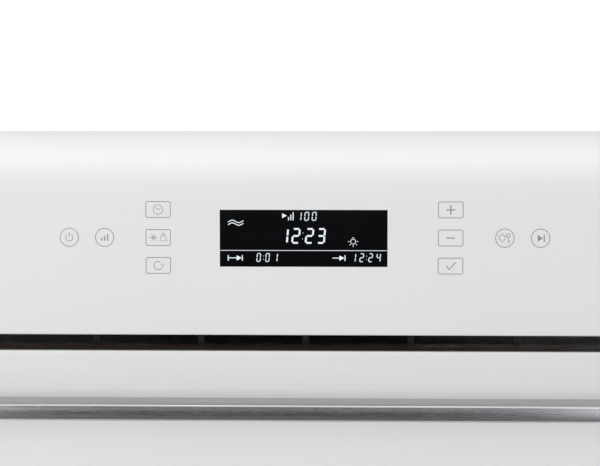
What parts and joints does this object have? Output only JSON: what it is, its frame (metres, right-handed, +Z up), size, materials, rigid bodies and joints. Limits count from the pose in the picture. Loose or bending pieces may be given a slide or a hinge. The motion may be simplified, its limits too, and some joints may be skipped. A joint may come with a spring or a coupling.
{
  "type": "wall oven",
  "caption": "Compact built-in oven with drop-down door, flat bar handle, touch control panel and cooling-air slot.",
  "frame": {"origin": "middle of the bottom of the oven's box, handle and rear cover included", "axes": "+X to the right seen from the front, +Y from the door to the back, +Z up"},
  "size_m": [0.595, 0.5936, 0.455],
  "materials": {
    "white_glass": "white printed behind, polished front",
    "clear_glass": "clear, polished",
    "dark_glass": "black display glass",
    "brown_plastic": "glossy dark brown",
    "brushed_aluminium": "brushed along its length",
    "door_frame": "black anodised",
    "galvanised": "zinc-coated sheet",
    "stainless": "fine brushed",
    "enamel": "dark glossy enamel with fine specks",
    "chromed_wire": "polished chrome",
    "element": "dull oxidised tube",
    "wool": "mineral wool",
    "black_plastic": "fine grained",
    "grey_plastic": "smooth",
    "rubber": "soft matt",
    "board": "circuit board",
    "ceramic": "smooth ceramic",
    "black_steel": "blackened"
  },
  "bodies": {
    "chassis": {"front_frame": "black_steel", "cavity_liner": "enamel", "insulation_blanket": "wool", "side_panel_left": "galvanised", "side_panel_right": "galvanised", "top_cover": "galvanised", "rear_cover": "galvanised", "base_tray": "galvanised", "control_deck": "galvanised", "air_duct": "galvanised", "blower_housing": "galvanised", "blower_motor": "black_steel", "fan_baffle": "enamel", "ring_element": "element", "fan_motor": "black_steel", "grill_element": "element", "waveguide": "galvanised", "magnetron": "stainless", "stirrer_motor": "black_plastic", "stirrer_cover": "ceramic", "inverter_board": "board", "power_board": "board", "lamp_housing": "ceramic", "lamp_bulb": "clear_glass", "lamp_lens": "clear_glass", "temperature_probe": "stainless", "side_rack_left": "chromed_wire", "side_rack_right": "chromed_wire", "door_gasket": "rubber", "hinge_arm_left": "black_steel", "hinge_arm_right": "black_steel", "door_switch": "black_plastic", "terminal_block": "black_plastic", "control_glass": "white_glass", "display_module": "dark_glass", "touch_board": "board", "panel_carrier": "black_plastic", "mounting_screw_left": "stainless", "mounting_screw_right": "stainless"},
    "door": {"door_outer_glass": "white_glass", "door_frame": "door_frame", "door_screen": "stainless", "door_middle_glass": "clear_glass", "door_inner_glass": "clear_glass", "door_top_cap": "brown_plastic", "handle_bar": "brushed_aluminium", "handle_post_left": "brushed_aluminium", "handle_post_right": "brushed_aluminium", "hinge_spring_left": "stainless", "hinge_spring_right": "stainless"},
    "rack": {"wire_rack": "chromed_wire"},
    "tray": {"bake_tray": "enamel"},
    "fan": {"convection_fan": "stainless"},
    "blower": {"blower_wheel": "stainless"},
    "stirrer": {"wave_stirrer": "stainless"},
    "plunger": {"switch_plunger": "grey_plastic"},
    "rod_left": {"hinge_rod_left": "stainless"},
    "rod_right": {"hinge_rod_right": "stainless"},
    "latch_left": {"latch_hook_left": "grey_plastic"},
    "latch_right": {"latch_hook_right": "grey_plastic"}
  },
  "joints": [
    {"name": "door_hinge", "type": "hinge", "parent": "chassis", "child": "door", "pos_m": [0, -0.23925, 0.015], "axis": [1, 0, 0], "range_deg": [0, 90]},
    {"name": "wire_rack_slide", "type": "slide", "parent": "chassis", "child": "rack", "axis": [0, -1, 0], "range_m": [0, 0.2043]},
    {"name": "bake_tray_slide", "type": "slide", "parent": "chassis", "child": "tray", "axis": [0, -1, 0], "range_m": [0, 0.1257]},
    {"name": "hinge_rod_left_slide", "type": "slide", "parent": "door", "child": "rod_left", "axis": [0, 0, -1], "range_m": [0, 0.0124], "deforming": ["hinge_spring_left"]},
    {"name": "hinge_rod_right_slide", "type": "slide", "parent": "door", "child": "rod_right", "axis": [0, 0, -1], "range_m": [0, 0.0124], "deforming": ["hinge_spring_right"]},
    {"name": "latch_left_tilt", "type": "hinge", "parent": "door", "child": "latch_left", "pos_m": [-0.245, -0.22925, 0.302], "axis": [1, 0, 0], "range_deg": [0, 8], "stiffness_Nm_per_rad": 0.1},
    {"name": "latch_right_tilt", "type": "hinge", "parent": "door", "child": "latch_right", "pos_m": [0.245, -0.22925, 0.302], "axis": [1, 0, 0], "range_deg": [0, 8], "stiffness_Nm_per_rad": 0.1},
    {"name": "switch_plunger_slide", "type": "slide", "parent": "chassis", "child": "plunger", "axis": [0, 1, 0], "range_m": [0, 0.0025], "stiffness_N_per_m": 300},
    {"name": "convection_fan_spin", "type": "hinge", "parent": "chassis", "child": "fan", "pos_m": [0, 0.17475, 0.176], "axis": [0, 1, 0], "continuous": true},
    {"name": "blower_wheel_spin", "type": "hinge", "parent": "chassis", "child": "blower", "pos_m": [0, 0.12575, 0.384], "axis": [1, 0, 0], "continuous": true},
    {"name": "wave_stirrer_spin", "type": "hinge", "parent": "chassis", "child": "stirrer", "pos_m": [0, 0.02075, 0.29], "axis": [0, 0, 1], "continuous": true}
  ],
  "couplings": [
    {"joint": "wire_rack_slide", "follows": "door_hinge", "m_per_rad": 0.13},
    {"joint": "bake_tray_slide", "follows": "door_hinge", "m_per_rad": 0.08},
    {"joint": "hinge_rod_left_slide", "follows": "door_hinge", "m_per_rad": 0.00783},
    {"joint": "hinge_rod_right_slide", "follows": "door_hinge", "m_per_rad": 0.00783}
  ]
}
